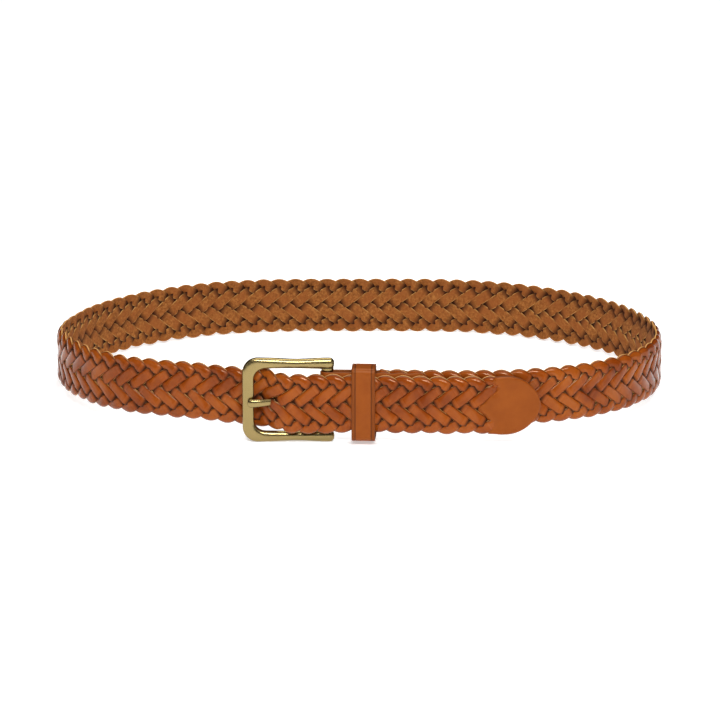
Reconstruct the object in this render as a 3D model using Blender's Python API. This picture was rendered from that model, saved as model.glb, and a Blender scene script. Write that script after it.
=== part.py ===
"""A braided leather belt, fastened, standing on its edge: strap, tip tab, chape, keeper, buckle frame and prong.

Run it with: blender --background --python part.py. Sizes are in metres, with +Z up.
Seen from above, the belt stands in a flattened ring that starts at the middle of its front. One line along the
middle of the strap starts at the buckle's hinge bar, goes once round the ring and ends at the tip. A place on a
soft piece is (along, up, out): how far along that line, how far above it, and how far out of the ring.
"""

import math

import bmesh
import bpy
import numpy as np
from mathutils import Vector

# Driving sizes
RING_LENGTH = 0.912  # once round the waist
RING_FLATNESS = 0.355  # how far the ring's heading swings ahead of an even turn, in radians
RING_END_ROUNDNESS = 0.050
STRAP_WIDTH = 0.035
STRAP_NARROWING = 0.002  # how much narrower the braid is at the buckle
STRAP_THICKNESS = 0.0036
BRAID_PITCH = 0.0101  # from one scallop of the edge to the next
LEAF_THICKNESS = 0.0015
CLEARANCE = 0.0003
FRAME_LENGTH = 0.0533
FRAME_BAR_WIDTH = 0.0062
FRAME_BAR_DEPTH = 0.0050
FRAME_PLAY = 0.0016  # room above and below the strap in the frame
PRONG_WIDTH = 0.0042
PRONG_DEPTH = 0.0030
CHAPE_LENGTH = 0.0560
TAIL_LENGTH = 0.1208  # from the hinge bar to the tip's point
TAB_LENGTH = 0.0283
KEEPER_WIDTH = 0.0139
KEEPER_PLAY = 0.0026  # room above and below the strap in the keeper

# Where the pieces sit
HINGE_PLACE = -0.0185  # along the ring from the middle of its front
HINGE_SINK = 0.0066  # how far the hinge bar is inside the ring
KEEPER_FROM_HINGE = 0.0218
FRAME_DROP = 0.0018  # how far each piece hangs below the middle of the strap's inner layer
KEEPER_DROP = 0.0031
TAIL_DROP = 0.0028

# Sizes that follow
HINGE_RADIUS = STRAP_THICKNESS / 2
FOLD_RADIUS = HINGE_RADIUS + CLEARANCE
CHAPE_HALF_DEPTH = FOLD_RADIUS + LEAF_THICKNESS
LAYER_STEP = CHAPE_HALF_DEPTH + CLEARANCE + STRAP_THICKNESS / 2
BUCKLE_END_WIDTH = STRAP_WIDTH - STRAP_NARROWING
CHAPE_HEIGHT = 0.94 * BUCKLE_END_WIDTH
FRAME_HEIGHT = STRAP_WIDTH + 2 * FRAME_PLAY + 2 * FRAME_BAR_WIDTH
FRAME_REACH = FRAME_LENGTH - 1.25 * FRAME_BAR_WIDTH  # from the hinge bar to the outer bar
FRAME_CORNER_RADIUS = 1.2 * FRAME_BAR_WIDTH  # to the middle of the bar
EYE_RADIUS = HINGE_RADIUS + CLEARANCE + 0.5 * PRONG_DEPTH
PRONG_STANDOFF = (FRAME_BAR_DEPTH + PRONG_DEPTH) / 2 + CLEARANCE
SLOT_HEIGHT = PRONG_WIDTH + 4 * CLEARANCE
KEEPER_HEIGHT = STRAP_WIDTH + 2 * KEEPER_PLAY + 2 * LEAF_THICKNESS

# The braid's proportions. Its columns are counted in crossings from the upper edge to the lower one
CROSSINGS = 9.0
COLUMN_ENDS = (0.0, 1.5, 4.5, 7.5, 9.0)
HALF_PITCH = BRAID_PITCH / 2
RELIEF = 0.24 * STRAP_THICKNESS
SCALLOP = 0.12 * BRAID_PITCH
BRAID_START = 0.57 * CHAPE_LENGTH
TONGUE_LENGTH = 0.28 * TAB_LENGTH
TONGUE_SHARE_UP = 0.80
TONGUE_SHARE_OUT = 0.22

# How the strap wanders off the ring: share of the ring's length, outward share of the strap's width
BOWS = (
    (0.066, -0.03),
    (0.110, 0.16),
    (0.142, 0.29),
    (0.175, 0.33),
    (0.208, 0.26),
    (0.247, 0.10),
    (0.285, 0.00),
    (0.720, -0.03),
    (0.768, 0.11),
    (0.811, 0.11),
    (0.844, 0.04),
    (0.877, -0.15),
)

# How the prong runs from its tip to its eye: share of the frame's reach, share of its standoff at the outer bar
PRONG_ROUTE = (
    (0.985, 0.96),
    (0.930, 1.00),
    (0.820, 0.92),
    (0.690, 0.60),
    (0.560, 0.26),
    (0.430, 0.08),
    (0.260, 0.00),
    (0.060, 0.00),
)

RING_STEPS = 1440
LINE_STEP = 0.001

LACE_LEATHER = (0.45, 0.16, 0.05, 1.0)
SMOOTH_LEATHER = (0.50, 0.18, 0.05, 1.0)
BRASS_COLOUR = (0.55, 0.43, 0.20, 1.0)


# Smooth curves

def smooth_through(rows, places):
    """Values at the places, on a curve through the rows that never swings past them."""
    x, y = (np.array(column) for column in zip(*rows))
    steps = np.diff(x)
    slopes = np.diff(y) / steps
    products = slopes[:-1] * slopes[1:]
    sums = np.where(products > 0, slopes[:-1] + slopes[1:], 1.0)
    middle = np.where(products > 0, 2 * products / sums, 0.0)
    ends = np.concatenate([[0.0], middle, [0.0]])
    places = np.clip(places, x[0], x[-1])
    k = np.clip(np.searchsorted(x, places) - 1, 0, len(steps) - 1)
    share = (places - x[k]) / steps[k]
    rise = share * share * (3 - 2 * share)
    leave = share * (1 - share) ** 2
    arrive = -share * share * (1 - share)
    return y[k] + rise * (y[k + 1] - y[k]) + steps[k] * (leave * ends[k] + arrive * ends[k + 1])


def eased(places, start, end):
    """0 before the start, 1 past the end, and a smooth rise between them."""
    share = np.clip((places - start) / (end - start), 0, 1)
    return share * share * (3 - 2 * share)


# The ring, seen from above

def ring_heading(turn):
    return turn - RING_FLATNESS * np.sin(2 * turn) - RING_END_ROUNDNESS * np.sin(6 * turn)


RING_MARKS = np.arange(RING_STEPS + 1) * RING_LENGTH / RING_STEPS
MID_TURNS = (np.arange(RING_STEPS) + 0.5) * math.tau / RING_STEPS
RING_X = np.concatenate([[0], np.cumsum(np.cos(ring_heading(MID_TURNS)))]) * RING_LENGTH / RING_STEPS
RING_Y = np.concatenate([[0], np.cumsum(np.sin(ring_heading(MID_TURNS)))]) * RING_LENGTH / RING_STEPS
RING_HALF_DEPTH = RING_Y.max() / 2


def ring_points(places, outward):
    """Points this far along the ring and this far out of it, as rows of x and y."""
    places = np.mod(places, RING_LENGTH)
    heading = ring_heading(places / RING_LENGTH * math.tau)
    x = np.interp(places, RING_MARKS, RING_X) + outward * np.sin(heading)
    y = np.interp(places, RING_MARKS, RING_Y) - RING_HALF_DEPTH - outward * np.cos(heading)
    return np.stack([x, y], axis=-1)


# The strap's middle line: behind the frame's outer bar, through the frame, and over the chape's layer

HINGE_X, HINGE_Y = ring_points(HINGE_PLACE, -HINGE_SINK)
BAR_PLACE = RING_LENGTH + HINGE_PLACE - FRAME_REACH
STRAP_Y_AT_BAR = HINGE_Y + FRAME_BAR_DEPTH / 2 + CLEARANCE + STRAP_THICKNESS / 2
BAR_SINK = STRAP_Y_AT_BAR - ring_points(BAR_PLACE, 0.0)[1]
RISE_START = BAR_PLACE + 0.5 * FRAME_BAR_WIDTH
RISE_END = BAR_PLACE + 0.56 * FRAME_REACH
TIP_PLACE = RING_LENGTH + HINGE_PLACE + TAIL_LENGTH

ROWS_OFF_RING = (
    [(HINGE_PLACE, -HINGE_SINK)]
    + [(share * RING_LENGTH, bow * STRAP_WIDTH) for share, bow in BOWS]
    + [(BAR_PLACE - 0.5 * FRAME_REACH, -0.95 * BAR_SINK), (BAR_PLACE, -BAR_SINK)]
)
PLACES = np.arange(HINGE_PLACE - 10 * LINE_STEP, TIP_PLACE + 10 * LINE_STEP, LINE_STEP)
INNER = smooth_through(ROWS_OFF_RING, PLACES)
OUTER = smooth_through(ROWS_OFF_RING, PLACES - RING_LENGTH) + LAYER_STEP
LINE = ring_points(PLACES, INNER + (OUTER - INNER) * eased(PLACES, RISE_START, RISE_END))
LINE_ALONG = np.concatenate([[0], np.cumsum(np.hypot(*np.diff(LINE, axis=0).T))])
LINE_ALONG = LINE_ALONG - np.interp(HINGE_PLACE, PLACES, LINE_ALONG)
LINE_HEADING = np.unwrap(np.arctan2(np.gradient(LINE[:, 1]), np.gradient(LINE[:, 0])))
LINE_DROP = TAIL_DROP * (
    0.5 * eased(PLACES, BAR_PLACE - FRAME_REACH, BAR_PLACE) + 0.5 * eased(PLACES, RISE_START, RISE_END)
)
TIP_ALONG = float(np.interp(TIP_PLACE, PLACES, LINE_ALONG))
TAB_ALONG = TIP_ALONG - TAB_LENGTH


def strap_point(along, up, out):
    """The point at this place on the strap."""
    x = np.interp(along, LINE_ALONG, LINE[:, 0])
    y = np.interp(along, LINE_ALONG, LINE[:, 1])
    heading = np.interp(along, LINE_ALONG, LINE_HEADING)
    drop = np.interp(along, LINE_ALONG, LINE_DROP)
    return Vector((x + out * math.sin(heading), y - out * math.cos(heading), up - drop))


def frame_point(reach, up, forward):
    """The point this far from the hinge bar towards the outer bar, above its middle and in front of it."""
    return Vector((HINGE_X - reach, HINGE_Y - forward, up - FRAME_DROP))


# Meshes and materials

def material(name, colour, roughness, metallic):
    made = bpy.data.materials.new(name)
    made.use_nodes = True
    surface = made.node_tree.nodes["Principled BSDF"]
    surface.inputs["Base Color"].default_value = colour
    surface.inputs["Roughness"].default_value = roughness
    surface.inputs["Metallic"].default_value = metallic
    return made


def piece(name, shape, finish=None):
    """An object from this bmesh, shaded smooth but for its creases, or a hidden cutter when it has no finish."""
    bmesh.ops.recalc_face_normals(shape, faces=shape.faces)
    mesh = bpy.data.meshes.new(name)
    shape.to_mesh(mesh)
    shape.free()
    made = bpy.data.objects.new(name, mesh)
    bpy.context.scene.collection.objects.link(made)
    if finish is None:
        made.hide_render = True
        made.display_type = "WIRE"
    else:
        mesh.materials.append(finish)
        mesh.shade_smooth()
        mesh.set_sharp_from_angle(angle=math.radians(40))
    return made


def add_sweep(shape, rings):
    """A closed skin through the rings of points, with each end closed by a strip from side to side."""
    rows = [[shape.verts.new(point) for point in ring] for ring in rings]
    count = len(rows[0])
    for near, far in zip(rows, rows[1:]):
        for k in range(count):
            shape.faces.new((near[k], near[(k + 1) % count], far[(k + 1) % count], far[k]))
    for end in (rows[0], rows[-1]):
        shape.faces.new((end[0], end[1], end[-1]))
        for k in range(1, count // 2 - 1):
            shape.faces.new((end[k], end[k + 1], end[-k - 1], end[-k]))
        shape.faces.new((end[count // 2 - 1], end[count // 2], end[count // 2 + 1]))


def sweep(name, rings, finish=None):
    shape = bmesh.new()
    add_sweep(shape, rings)
    return piece(name, shape, finish)


def combine(target, tool, operation):
    step = target.modifiers.new(tool.name, "BOOLEAN")
    step.operation = operation
    step.object = tool
    step.solver = "EXACT"


def rounded_section(half_width, half_depth, corner, steps):
    """A rectangle with round corners, as (across, deep) pairs."""
    pairs = []
    for quarter, (side, face) in enumerate(((1, 1), (-1, 1), (-1, -1), (1, -1))):
        for k in range(steps + 1):
            angle = math.pi / 2 * (quarter + k / steps)
            across = side * (half_width - corner) + corner * math.cos(angle)
            deep = face * (half_depth - corner) + corner * math.sin(angle)
            pairs.append((across, deep))
    return pairs


def box(name, place, spans):
    """A cutter with straight sides, from the lowest to the highest of each of the three measures of the place."""
    (a0, a1), (b0, b1), (c0, c1) = spans
    rings = [[place(a, b, c) for b, c in ((b0, c0), (b1, c0), (b1, c1), (b0, c1))] for a in (a0, a1)]
    return sweep(name, rings)


def upright_rod(name, centre, radius, low, high, sides, finish=None):
    rings = []
    for up in (low, high):
        ring = []
        for k in range(sides):
            angle = math.tau * k / sides
            ring.append(frame_point(centre + radius * math.cos(angle), up, radius * math.sin(angle)))
        rings.append(ring)
    return sweep(name, rings, finish)


# The braided strap

def zigzag(crossing):
    """How far along a lace on the outer face has run when it reaches this crossing, in half pitches."""
    if crossing <= COLUMN_ENDS[1]:
        return crossing
    if crossing <= COLUMN_ENDS[2]:
        return 2 * COLUMN_ENDS[1] - crossing
    if crossing <= COLUMN_ENDS[3]:
        return crossing - 4 * COLUMN_ENDS[1]
    return CROSSINGS - crossing


def across_points():
    """The crossings where the strap's skin has a point, with the column that each one is the middle of."""
    points = [(COLUMN_ENDS[0], None)]
    for column, (low, high) in enumerate(zip(COLUMN_ENDS, COLUMN_ENDS[1:])):
        points += [((low + high) / 2, column), (high, None)]
    return points


def strap_half_width(along):
    return (STRAP_WIDTH - STRAP_NARROWING * (1 - along / TIP_ALONG)) / 2


def braid_ring(row):
    """One zigzag ring of the braid: laces stand high on every other row, and dip between the columns."""
    ring = []
    across = across_points()
    front = [(crossing, column, 1) for crossing, column in across]
    back = [(crossing, column, -1) for crossing, column in reversed(across[1:-1])]
    for crossing, column, face in front + back:
        along = BRAID_START + (row + face * zigzag(crossing)) * HALF_PITCH
        half = strap_half_width(along)
        high = column is not None and (row + column) % 2 == 0
        out = face * (STRAP_THICKNESS / 2 - (0 if high else RELIEF))
        if crossing in (0.0, CROSSINGS):
            notch = (row + (crossing > 0)) % 2
            half -= SCALLOP * notch
            out = 0.0
        ring.append(strap_point(along, half * (1 - 2 * crossing / CROSSINGS), out))
    return ring


def straight_ring(along, share_up, share_out):
    """A ring square across the strap, with the same points as the zigzag ones."""
    ring = []
    across = [crossing for crossing, _ in across_points()]
    for crossing, face in [(c, 1) for c in across] + [(c, -1) for c in reversed(across[1:-1])]:
        up = share_up * strap_half_width(along) * (1 - 2 * crossing / CROSSINGS)
        edge = crossing in (0.0, CROSSINGS)
        out = 0.0 if edge else face * share_out * (STRAP_THICKNESS / 2 - RELIEF)
        ring.append(strap_point(along, up, out))
    return ring


def braided_strap(finish):
    rows = int((TAB_ALONG - CLEARANCE - BRAID_START) / HALF_PITCH) - 2
    shoulder = TAB_ALONG - CLEARANCE
    rings = [straight_ring(BRAID_START, 0.97, 1.0)]
    rings += [braid_ring(row) for row in range(2, rows + 1)]
    rings += [straight_ring(shoulder, 1.0, 1.0)]
    rings += [straight_ring(shoulder, TONGUE_SHARE_UP, TONGUE_SHARE_OUT)]
    rings += [straight_ring(shoulder + TONGUE_LENGTH, TONGUE_SHARE_UP, TONGUE_SHARE_OUT)]
    strap = sweep("braided_strap", rings, finish)
    room = 2 * CLEARANCE
    reaches = (0.56 * FRAME_REACH, 0.86 * FRAME_REACH)
    ups = (FRAME_DROP - TAIL_DROP - PRONG_WIDTH / 2 - room, FRAME_DROP - TAIL_DROP + PRONG_WIDTH / 2 + room)
    hole = box("prong_hole", frame_point, (reaches, ups, (-4 * STRAP_THICKNESS, 4 * STRAP_THICKNESS)))
    combine(strap, hole, "DIFFERENCE")
    return strap


# The tip tab, with a slot that takes the braid's tongue

def tab_half_width(share):
    """Half the tab's width, from 0 at its straight end to 1 at its point: straight, then two arcs to the point."""
    half = strap_half_width(TIP_ALONG)
    straight = 0.28
    if share <= straight:
        return half
    run = (1 - straight) * TAB_LENGTH
    radius = (run * run + half * half) / (2 * half)
    across = (share - straight) * TAB_LENGTH
    return half - radius + math.sqrt(max(radius * radius - across * across, 0))


def tip_tab(finish):
    half_depth = 0.47 * STRAP_THICKNESS
    rings = []
    for share in (0.0, 0.14, 0.28, 0.42, 0.55, 0.67, 0.77, 0.85, 0.91, 0.95, 0.98, 0.995):
        half = tab_half_width(share)
        corner = min(0.4 * half_depth, 0.45 * half)
        section = rounded_section(half, half_depth, corner, 2)
        along = TAB_ALONG + share * TAB_LENGTH
        rings.append([strap_point(along, across, deep) for across, deep in section])
    tab = sweep("tip_tab", rings, finish)
    half_up = TONGUE_SHARE_UP * STRAP_WIDTH / 2 + CLEARANCE
    half_out = TONGUE_SHARE_OUT * (STRAP_THICKNESS / 2 - RELIEF) + CLEARANCE
    slot = box("tongue_slot", strap_point, (
        (TAB_ALONG - TONGUE_LENGTH, TAB_ALONG + TONGUE_LENGTH),
        (-half_up, half_up),
        (-half_out, half_out),
    ))
    combine(tab, slot, "DIFFERENCE")
    return tab


# The chape, folded round the hinge bar

def chape(finish):
    stations = np.linspace(CHAPE_LENGTH, 0.0, 10)
    fold = [math.pi / 2 * (1 + k / 5) for k in range(1, 10)]
    route = [(along, 0.0, 1.0) for along in stations]
    route += [(0.0, math.cos(angle), math.sin(angle)) for angle in fold]
    route += [(along, 0.0, -1.0) for along in reversed(stations)]
    half = CHAPE_HEIGHT / 2
    rings = []
    for along, back, out in route:
        ring = []
        for radius, up in (
            (FOLD_RADIUS, -half),
            (FOLD_RADIUS, half),
            (CHAPE_HALF_DEPTH, half),
            (CHAPE_HALF_DEPTH, -half),
        ):
            ring.append(strap_point(along + radius * back, up, radius * out))
        rings.append(ring)
    leather = sweep("chape", rings, finish)
    slot = box("prong_slot", frame_point, (
        (-1.5 * CHAPE_HALF_DEPTH, 1.5 * CHAPE_HALF_DEPTH),
        (FRAME_DROP - TAIL_DROP - SLOT_HEIGHT / 2, FRAME_DROP - TAIL_DROP + SLOT_HEIGHT / 2),
        (-2 * CHAPE_HALF_DEPTH, 2 * CHAPE_HALF_DEPTH),
    ))
    combine(leather, slot, "DIFFERENCE")
    return leather


# The keeper, round the chape's layer and the tail

def keeper_loop(finish):
    back = CHAPE_HALF_DEPTH + CLEARANCE
    front = LAYER_STEP + STRAP_THICKNESS / 2 + CLEARANCE
    middle = (front - back) / 2
    half_up = KEEPER_HEIGHT / 2 - LEAF_THICKNESS
    half_out = (front + back) / 2
    corner = LEAF_THICKNESS
    inner = rounded_section(half_up, half_out, 0.4 * corner, 3)
    outer = rounded_section(half_up + corner, half_out + corner, 1.4 * corner, 3)
    edges = [KEEPER_FROM_HINGE - KEEPER_WIDTH / 2, KEEPER_FROM_HINGE + KEEPER_WIDTH / 2]
    shape = bmesh.new()
    loops = []
    for pairs, along in ((outer, edges[0]), (outer, edges[1]), (inner, edges[1]), (inner, edges[0])):
        loops.append([shape.verts.new(strap_point(along, up - KEEPER_DROP, out + middle)) for up, out in pairs])
    for near, far in zip(loops, loops[1:] + loops[:1]):
        for k in range(len(near)):
            after = (k + 1) % len(near)
            shape.faces.new((near[k], near[after], far[after], far[k]))
    return piece("keeper_loop", shape, finish)


# The buckle's frame with its hinge bar

def frame_route():
    """The middle of the frame's bar as (reach, up, heading), from the upper end round to the lower one."""
    half = (FRAME_HEIGHT - FRAME_BAR_WIDTH) / 2
    end = -0.25 * FRAME_BAR_WIDTH
    corner = FRAME_REACH - FRAME_CORNER_RADIUS
    route = [(end, half, 0.0), (0.5 * corner, half, 0.0)]
    for k in range(7):
        angle = math.pi / 2 * k / 6
        reach = corner + FRAME_CORNER_RADIUS * math.sin(angle)
        up = half - FRAME_CORNER_RADIUS * (1 - math.cos(angle))
        route.append((reach, up, angle))
    return route + [(reach, -up, math.pi - heading) for reach, up, heading in reversed(route)]


def buckle_frame(finish):
    section = rounded_section(FRAME_BAR_WIDTH / 2, FRAME_BAR_DEPTH / 2, 0.42 * FRAME_BAR_DEPTH, 3)
    stops = [(place, 1.0) for place in frame_route()]
    reach, up, heading = stops[0][0]
    caps = [((reach - 0.5 * FRAME_BAR_WIDTH * push, up, heading), share)
            for push, share in ((1.0, 0.35), (0.86, 0.66), (0.55, 0.90))]
    stops = caps + stops + [((place[0], -place[1], math.pi), share) for place, share in reversed(caps)]
    rings = []
    for (reach, up, heading), share in stops:
        ring = []
        for across, deep in section:
            outwards = across * share
            ring.append(frame_point(
                reach + outwards * math.sin(heading), up + outwards * math.cos(heading), deep * share
            ))
        rings.append(ring)
    frame = sweep("buckle_frame", rings, finish)
    reach_up = (FRAME_HEIGHT - FRAME_BAR_WIDTH) / 2
    bar = upright_rod("hinge_bar", 0.0, HINGE_RADIUS, -reach_up, reach_up, 16)
    combine(frame, bar, "UNION")
    return frame


# The prong, with its eye round the hinge bar

def buckle_prong(finish):
    lower = FRAME_DROP - TAIL_DROP
    stops = [(reach * FRAME_REACH, forward * PRONG_STANDOFF) for reach, forward in PRONG_ROUTE]
    shares = [0.55, 1.08, 1.05] + [1.0] * (len(stops) - 3)
    tip = stops[0]
    stops = [(tip[0] + 0.016 * FRAME_REACH, tip[1])] + stops
    shares = [0.12] + shares
    section = rounded_section(PRONG_WIDTH / 2, PRONG_DEPTH / 2, 0.46 * PRONG_DEPTH, 3)
    rings = []
    for (reach, forward), share in zip(stops, shares):
        rings.append([frame_point(reach, lower + up * share, forward + deep * share) for up, deep in section])
    prong = sweep("buckle_prong", rings, finish)
    half = PRONG_WIDTH / 2
    eye = upright_rod("prong_eye", 0.0, EYE_RADIUS, lower - half, lower + half, 20)
    bore = upright_rod("prong_bore", 0.0, HINGE_RADIUS + CLEARANCE, lower - 2 * half, lower + 2 * half, 16)
    combine(prong, eye, "UNION")
    combine(prong, bore, "DIFFERENCE")
    return prong


# The whole belt, resting on the frame's lower arm and on the back's lower edge

def rest_on_floor(pieces):
    holder = bpy.data.objects.new("belt", None)
    bpy.context.scene.collection.objects.link(holder)
    for made in pieces:
        made.parent = holder
    for tool in [thing for thing in bpy.data.objects if thing.hide_render]:
        tool.parent = holder
    hang = FRAME_HEIGHT / 2 + FRAME_DROP - strap_half_width(TIP_ALONG / 2)
    span = RING_HALF_DEPTH - HINGE_Y
    holder.rotation_euler = (-math.atan2(hang, span), 0, 0)
    bpy.context.view_layer.update()
    corners = [made.matrix_world @ vertex.co for made in pieces for vertex in made.data.vertices]
    lows = [min(point[axis] for point in corners) for axis in range(3)]
    highs = [max(point[axis] for point in corners) for axis in range(3)]
    holder.location = (-(lows[0] + highs[0]) / 2, -(lows[1] + highs[1]) / 2, -lows[2])


def main():
    for old in list(bpy.data.objects):
        bpy.data.objects.remove(old)
    lace = material("lace_leather", LACE_LEATHER, 0.45, 0.0)
    smooth = material("smooth_leather", SMOOTH_LEATHER, 0.40, 0.0)
    brass = material("brass", BRASS_COLOUR, 0.30, 1.0)
    pieces = [
        braided_strap(lace),
        tip_tab(smooth.copy()),
        chape(smooth.copy()),
        keeper_loop(smooth),
        buckle_frame(brass),
        buckle_prong(brass.copy()),
    ]
    rest_on_floor(pieces)


main()
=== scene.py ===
"""The looks of a fastened braided belt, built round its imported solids: nine interlaced laces, the tip tab they are
cut from, the folded chape, the keeper, and a brass buckle frame with its prong.

Lengths are in metres. A place on the strap is (along, up, out): how far along its middle line from the hinge bar,
how far above that line, and how far out of the ring. A braid counts its steps in half pitches along the strap,
and its crossings from 0 at the upper edge to 9 at the lower one.
"""

import math

import bmesh
import bpy
import numpy as np
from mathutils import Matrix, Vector


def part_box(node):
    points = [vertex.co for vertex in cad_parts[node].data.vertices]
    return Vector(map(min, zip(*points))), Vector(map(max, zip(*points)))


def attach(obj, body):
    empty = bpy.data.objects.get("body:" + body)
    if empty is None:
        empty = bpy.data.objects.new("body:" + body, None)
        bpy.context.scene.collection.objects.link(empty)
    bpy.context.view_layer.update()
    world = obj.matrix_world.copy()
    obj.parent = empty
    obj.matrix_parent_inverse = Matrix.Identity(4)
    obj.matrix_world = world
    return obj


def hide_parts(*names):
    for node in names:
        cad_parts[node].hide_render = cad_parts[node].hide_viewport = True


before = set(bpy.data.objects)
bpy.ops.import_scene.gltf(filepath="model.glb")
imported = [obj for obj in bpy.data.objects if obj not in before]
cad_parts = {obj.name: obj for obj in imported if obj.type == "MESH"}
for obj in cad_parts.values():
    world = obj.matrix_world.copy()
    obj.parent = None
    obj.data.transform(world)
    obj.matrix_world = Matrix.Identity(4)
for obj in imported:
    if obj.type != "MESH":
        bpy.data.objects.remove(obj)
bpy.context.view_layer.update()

# Driving sizes, the same as the solids'
RING_LENGTH = 0.912
RING_FLATNESS = 0.355
RING_END_ROUNDNESS = 0.050
STRAP_WIDTH = 0.035
STRAP_NARROWING = 0.002
STRAP_THICKNESS = 0.0036
BRAID_PITCH = 0.0101
LEAF_THICKNESS = 0.0015
CLEARANCE = 0.0003
FRAME_LENGTH = 0.0533
FRAME_BAR_WIDTH = 0.0062
FRAME_BAR_DEPTH = 0.0050
FRAME_PLAY = 0.0016
PRONG_WIDTH = 0.0042
PRONG_DEPTH = 0.0030
CHAPE_LENGTH = 0.0560
TAIL_LENGTH = 0.1208
TAB_LENGTH = 0.0283
KEEPER_WIDTH = 0.0139
KEEPER_PLAY = 0.0026
HINGE_PLACE = -0.0185
HINGE_SINK = 0.0066
KEEPER_FROM_HINGE = 0.0218
FRAME_DROP = 0.0018
KEEPER_DROP = 0.0031
TAIL_DROP = 0.0028

# Where the looks stand a little off the solids
KEEPER_RISE = 0.0008  # how much higher the keeper's top stands over the strap
BAR_THICKENING = 0.0006  # of the frame's outer bar, on its inner side
ARM_THICKENING = 0.0003  # of the frame's arms, on their inner side
BRAID_WIDENING = 0.05  # of the braid between the prong's hole and the keeper, as a share
BRAID_SAG = 0.0004  # of the braid there

# Sizes that follow
HINGE_RADIUS = STRAP_THICKNESS / 2
FOLD_RADIUS = HINGE_RADIUS + CLEARANCE
CHAPE_HALF_DEPTH = FOLD_RADIUS + LEAF_THICKNESS
LAYER_STEP = CHAPE_HALF_DEPTH + CLEARANCE + STRAP_THICKNESS / 2
CHAPE_HEIGHT = 0.94 * (STRAP_WIDTH - STRAP_NARROWING)
FRAME_HEIGHT = STRAP_WIDTH + 2 * FRAME_PLAY + 2 * FRAME_BAR_WIDTH
FRAME_REACH = FRAME_LENGTH - 1.25 * FRAME_BAR_WIDTH
EYE_RADIUS = HINGE_RADIUS + CLEARANCE + 0.5 * PRONG_DEPTH
PRONG_STANDOFF = (FRAME_BAR_DEPTH + PRONG_DEPTH) / 2 + CLEARANCE
KEEPER_HEIGHT = STRAP_WIDTH + 2 * KEEPER_PLAY + 2 * LEAF_THICKNESS
HALF_PITCH = BRAID_PITCH / 2
BRAID_START = 0.57 * CHAPE_LENGTH
HOLE_UP = FRAME_DROP - TAIL_DROP  # of the prong's axis above the frame's middle

# The laces
CROSSINGS = 9
LACE_WIDTH = 0.0063
LACE_THICKNESS = 0.0018
LACE_LEVEL = 0.00088  # how far a lace's middle lies in front of the strap's middle, or behind it
LACE_BEND = 0.10  # how far a lace bends to and fro between the columns, in crossings
EDGE_TURN = 0.50  # how roundly a lace turns at the strap's edge, in crossings
EDGE_SHARE = 0.462  # the strap's edge, in crossings outside the first one
EDGE_CURL = 0.0012  # how far back the lace's outer side curls where it turns at the strap's edge
EDGE_CURL_RUN = 0.85  # how far that curl runs on to each side of the turn, in crossings
LACE_ROLL = 0.17  # how far a lace leans sideways where it comes up or dives
LATTICE_SHIFT = -0.0010  # the laces against the solid strap's scallops
LACE_INTO_TAB = 0.0034  # how far the laces run on inside the tip tab
LACE_LEAF = 1.05  # a lace's width in the open, as a share of LACE_WIDTH
LACE_TUCK = 0.13  # how much of that share it loses in the middle of a dive
LACE_END = 0.35  # the width that its end narrows to, as a share
LACE_END_LENGTH = 0.9  # the length of that narrowing, in steps
ROOT_TUCK = 0.0008  # how far back a lace goes under the tab's roots
ALONG_WANDER = 0.00018
CROSSING_WANDER = 0.045  # in crossings
OUT_WANDER = 0.00006
ROLL_WANDER = 0.05
WIDTH_WANDER = 0.05  # as a share
RINGS_A_STEP = 7

RING_STEPS = 1440
LINE_STEP = 0.001

# Share of the ring's length, outward share of the strap's width
BOWS = (
    (0.066, -0.03),
    (0.110, 0.16),
    (0.142, 0.29),
    (0.175, 0.33),
    (0.208, 0.26),
    (0.247, 0.10),
    (0.285, 0.00),
    (0.720, -0.03),
    (0.768, 0.11),
    (0.811, 0.11),
    (0.844, 0.04),
    (0.877, -0.15),
)

# Share of the frame's reach, share of the prong's standoff
PRONG_ROUTE = (
    (1.001, 0.96),
    (0.985, 0.96),
    (0.930, 1.00),
    (0.830, 0.86),
    (0.720, 0.44),
    (0.600, 0.10),
    (0.430, 0.00),
    (0.260, 0.00),
    (0.060, 0.00),
)


# Smooth curves


def smooth_through(rows, places):
    x, y = (np.array(column) for column in zip(*rows))
    steps = np.diff(x)
    slopes = np.diff(y) / steps
    products = slopes[:-1] * slopes[1:]
    sums = np.where(products > 0, slopes[:-1] + slopes[1:], 1.0)
    middle = np.where(products > 0, 2 * products / sums, 0.0)
    ends = np.concatenate([[0.0], middle, [0.0]])
    places = np.clip(places, x[0], x[-1])
    k = np.clip(np.searchsorted(x, places) - 1, 0, len(steps) - 1)
    share = (places - x[k]) / steps[k]
    rise = share * share * (3 - 2 * share)
    leave = share * (1 - share) ** 2
    arrive = -share * share * (1 - share)
    return y[k] + rise * (y[k + 1] - y[k]) + steps[k] * (leave * ends[k] + arrive * ends[k + 1])


def eased(places, start, end):
    share = np.clip((places - start) / (end - start), 0, 1)
    return share * share * (3 - 2 * share)


# The ring and the strap's middle line, as in the solids


def ring_heading(turn):
    return turn - RING_FLATNESS * np.sin(2 * turn) - RING_END_ROUNDNESS * np.sin(6 * turn)


RING_MARKS = np.arange(RING_STEPS + 1) * RING_LENGTH / RING_STEPS
MID_TURNS = (np.arange(RING_STEPS) + 0.5) * math.tau / RING_STEPS
MID_HEADINGS = ring_heading(MID_TURNS)
RING_X = np.concatenate([[0], np.cumsum(np.cos(MID_HEADINGS))]) * RING_LENGTH / RING_STEPS
RING_Y = np.concatenate([[0], np.cumsum(np.sin(MID_HEADINGS))]) * RING_LENGTH / RING_STEPS
RING_HALF_DEPTH = RING_Y.max() / 2


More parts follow.
